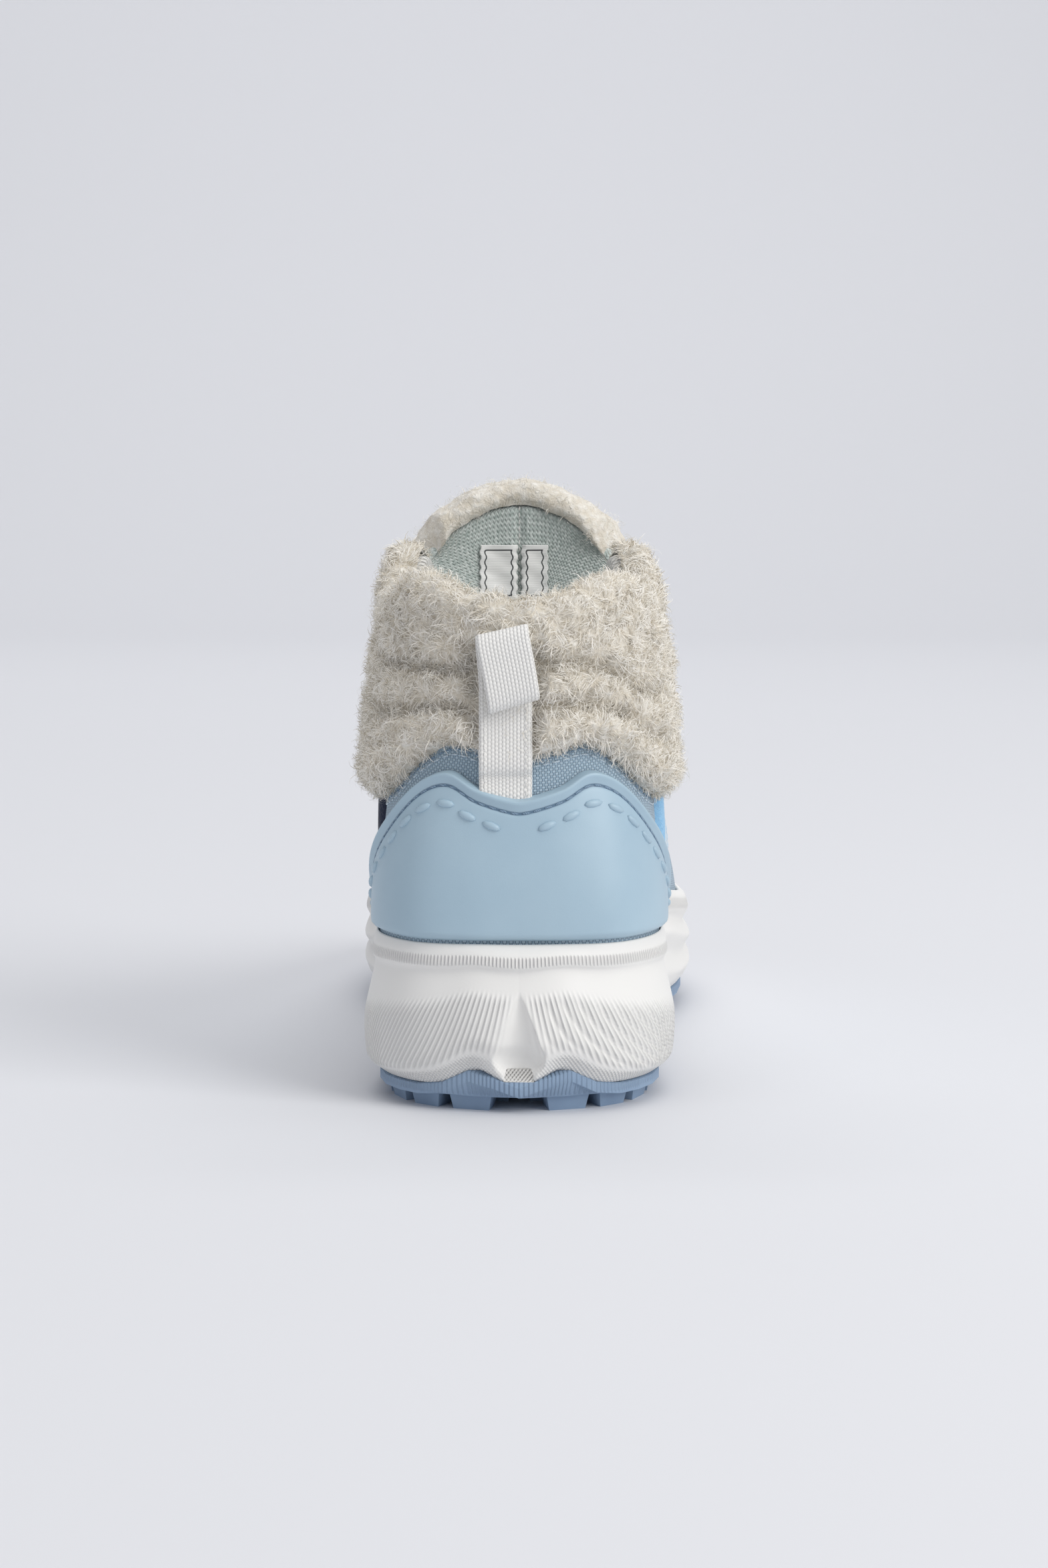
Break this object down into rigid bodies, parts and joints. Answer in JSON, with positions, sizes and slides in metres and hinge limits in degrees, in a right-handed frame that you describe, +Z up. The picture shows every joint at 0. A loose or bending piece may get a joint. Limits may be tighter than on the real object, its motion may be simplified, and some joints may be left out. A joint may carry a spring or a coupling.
{
  "type": "winter hiking shoe",
  "caption": "Right laced mid-cut hiking shoe with a fleece collar, padded tongue, heel counter, pull loop and thick lugged sole.",
  "frame": {"origin": "middle of the shoe's box, on the floor that the lugs stand on", "axes": "+Z up, +Y from heel to toe, +X to the outer side of the foot"},
  "size_m": [0.1032, 0.289, 0.1629],
  "materials": {
    "outsole_rubber": "moulded slate-blue rubber, satin",
    "midsole_foam": "moulded white EVA foam with fine ribs",
    "insole_knit": "knit on foam",
    "canvas": "woven light-blue canvas",
    "counter_rubber": "satin moulded TPU",
    "fleece": "cream curled pile",
    "suede": "pale blue suede",
    "trim_lateral_felt": "sky-blue felt edge",
    "trim_medial_felt": "navy felt edge",
    "lining_knit": "heathered mint-grey knit",
    "lace_cord": "round braided cord",
    "webbing": "white woven webbing"
  },
  "bodies": {
    "root": {"outsole": "outsole_rubber", "midsole": "midsole_foam", "insole": "insole_knit", "upper": "canvas", "heel_counter": "counter_rubber", "fleece_collar": "fleece", "overlay_lateral": "suede", "overlay_medial": "suede", "trim_lateral": "trim_lateral_felt", "trim_medial": "trim_medial_felt", "tongue": "lining_knit", "tongue_fleece": "fleece", "lace_bar": "lace_cord", "lace_cross_1": "lace_cord", "lace_cross_2": "lace_cord", "lace_cross_3": "lace_cord", "lace_cross_4": "lace_cord", "lace_cross_5": "lace_cord", "pull_loop": "webbing"}
  },
  "joints": []
}
